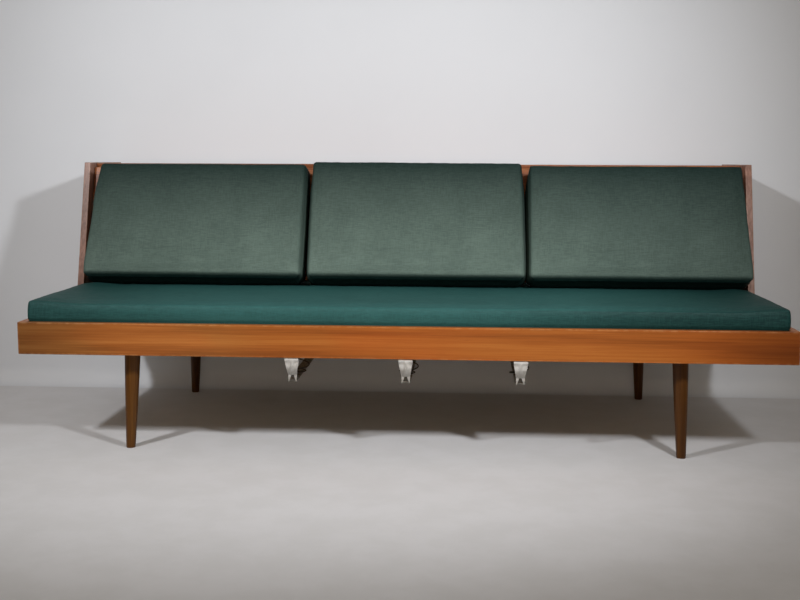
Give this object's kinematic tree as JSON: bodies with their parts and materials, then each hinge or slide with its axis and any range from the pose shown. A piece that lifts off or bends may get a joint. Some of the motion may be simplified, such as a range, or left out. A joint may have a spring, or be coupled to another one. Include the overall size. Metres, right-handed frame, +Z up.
{
  "type": "daybed",
  "caption": "Long wooden daybed on tapered legs with a sprung slat base, full-depth mattress, swing-up back panel between side cheeks, and loose back cushions.",
  "frame": {"origin": "on the floor, under the centre of the frame's length and depth", "axes": "+X along the length to the sitter's left as seen from the front (viewer's right), -Y to the front, +Z up"},
  "size_m": [2, 0.84, 0.7618],
  "materials": {
    "teak": "satin",
    "dark_teak": "satin",
    "stained_beech": "satin",
    "pine": "matte",
    "steel": "satin",
    "white_steel": "satin",
    "spring_steel": "satin",
    "cushion_fabric": "matte",
    "mattress_fabric": "matte"
  },
  "bodies": {
    "frame": {"front_rail": "teak", "rear_rail": "teak", "left_end_rail": "teak", "right_end_rail": "teak", "front_left_corner_block": "pine", "front_right_corner_block": "pine", "rear_left_corner_block": "pine", "rear_right_corner_block": "pine", "left_bearer": "pine", "right_bearer": "pine", "left_ledge": "pine", "right_ledge": "pine", "slat_1": "pine", "slat_2": "pine", "slat_3": "pine", "slat_4": "pine", "slat_5": "pine", "front_left_leg": "stained_beech", "front_right_leg": "stained_beech", "rear_left_leg": "stained_beech", "rear_right_leg": "stained_beech", "front_left_leg_plate": "steel", "front_right_leg_plate": "steel", "rear_left_leg_plate": "steel", "rear_right_leg_plate": "steel", "front_left_leg_bolt": "steel", "front_right_leg_bolt": "steel", "rear_left_leg_bolt": "steel", "rear_right_leg_bolt": "steel", "front_hanger_left": "white_steel", "front_hanger_middle": "white_steel", "front_hanger_right": "white_steel", "rear_hanger_left": "white_steel", "rear_hanger_middle": "white_steel", "rear_hanger_right": "white_steel", "left_spring_band": "steel", "middle_spring_band": "steel", "right_spring_band": "steel", "left_spring_front": "spring_steel", "left_spring_middle": "spring_steel", "left_spring_rear": "spring_steel", "middle_spring_front": "spring_steel", "middle_spring_middle": "spring_steel", "middle_spring_rear": "spring_steel", "right_spring_front": "spring_steel", "right_spring_middle": "spring_steel", "right_spring_rear": "spring_steel", "mattress": "mattress_fabric", "left_cheek": "dark_teak", "right_cheek": "dark_teak", "top_board": "dark_teak", "left_stop_block": "dark_teak", "right_stop_block": "dark_teak", "left_pivot_pin": "steel", "right_pivot_pin": "steel"},
    "back_panel": {"back_panel": "dark_teak"},
    "left_cushion": {"left_cushion": "cushion_fabric"},
    "middle_cushion": {"middle_cushion": "cushion_fabric"},
    "right_cushion": {"right_cushion": "cushion_fabric"}
  },
  "joints": [
    {"name": "back_panel_hinge", "type": "hinge", "parent": "frame", "child": "back_panel", "pos_m": [0, 0.15926, 0.729], "axis": [-1, 0, 0], "range_deg": [0, 75]},
    {"name": "left_cushion_lift", "type": "slide", "parent": "back_panel", "child": "left_cushion", "axis": [0, -0.866, 0.5], "range_m": [0, 0.35]},
    {"name": "middle_cushion_lift", "type": "slide", "parent": "back_panel", "child": "middle_cushion", "axis": [0, -0.866, 0.5], "range_m": [0, 0.35]},
    {"name": "right_cushion_lift", "type": "slide", "parent": "back_panel", "child": "right_cushion", "axis": [0, -0.866, 0.5], "range_m": [0, 0.35]}
  ]
}
